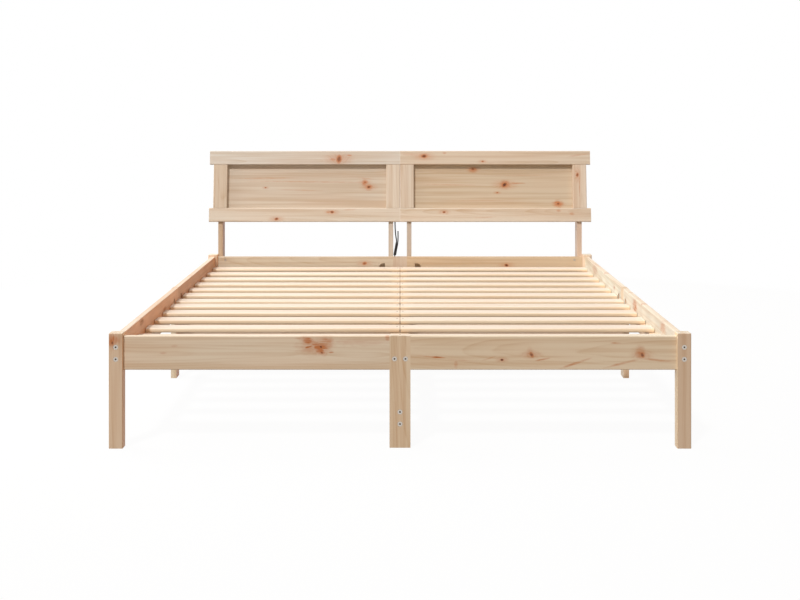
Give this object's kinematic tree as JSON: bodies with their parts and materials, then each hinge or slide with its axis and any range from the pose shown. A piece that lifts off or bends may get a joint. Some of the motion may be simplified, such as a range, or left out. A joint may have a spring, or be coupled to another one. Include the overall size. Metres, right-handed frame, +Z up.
{
  "type": "double bed",
  "caption": "Low slatted pine double bed frame on square legs, with bolted rails, a central beam and a leaning panelled headboard; a thin black lead hangs behind it.",
  "frame": {"origin": "on the floor, under the middle of the bed's bounding box", "axes": "+X across the bed to the right seen from the foot, +Y from the foot to the head, +Z up"},
  "size_m": [1.665, 2.1258, 0.778],
  "materials": {
    "pine": "planed, oiled and knotty",
    "zinc_steel": "zinc plated",
    "black_cable": "matt",
    "black_plastic": "matt"
  },
  "bodies": {
    "root": {"barrel_nuts": "zinc_steel", "beam_leg": "pine", "controller": "black_plastic", "foot_centre_beam": "pine", "foot_centre_leg": "pine", "foot_left_leg": "pine", "foot_left_rail": "pine", "foot_prop": "pine", "foot_right_leg": "pine", "foot_right_rail": "pine", "head_centre_beam": "pine", "head_centre_leg": "pine", "head_left_leg": "pine", "head_left_rail": "pine", "head_prop": "pine", "head_right_leg": "pine", "head_right_rail": "pine", "joint_bolts": "zinc_steel", "lead_coil": "black_cable", "lead_holder": "black_plastic", "lead_lower": "black_cable", "lead_upper": "black_cable", "left_bottom_board": "pine", "left_foot_side_rail": "pine", "left_head_side_rail": "pine", "left_inner_post": "pine", "left_inner_stile": "pine", "left_ledgers": "pine", "left_middle_leg": "pine", "left_outer_post": "pine", "left_outer_stile": "pine", "left_panel": "pine", "left_top_board": "pine", "plug": "black_plastic", "right_bottom_board": "pine", "right_foot_side_rail": "pine", "right_head_side_rail": "pine", "right_inner_post": "pine", "right_inner_stile": "pine", "right_ledgers": "pine", "right_middle_leg": "pine", "right_outer_post": "pine", "right_outer_stile": "pine", "right_panel": "pine", "right_top_board": "pine", "sensor_lead": "black_cable", "slat_row_01": "pine", "slat_row_02": "pine", "slat_row_03": "pine", "slat_row_04": "pine", "slat_row_05": "pine", "slat_row_06": "pine", "slat_row_07": "pine", "slat_row_08": "pine", "slat_row_09": "pine", "slat_row_10": "pine", "slat_row_11": "pine", "slat_row_12": "pine", "slat_row_13": "pine", "tie_studs": "zinc_steel"}
  },
  "joints": []
}
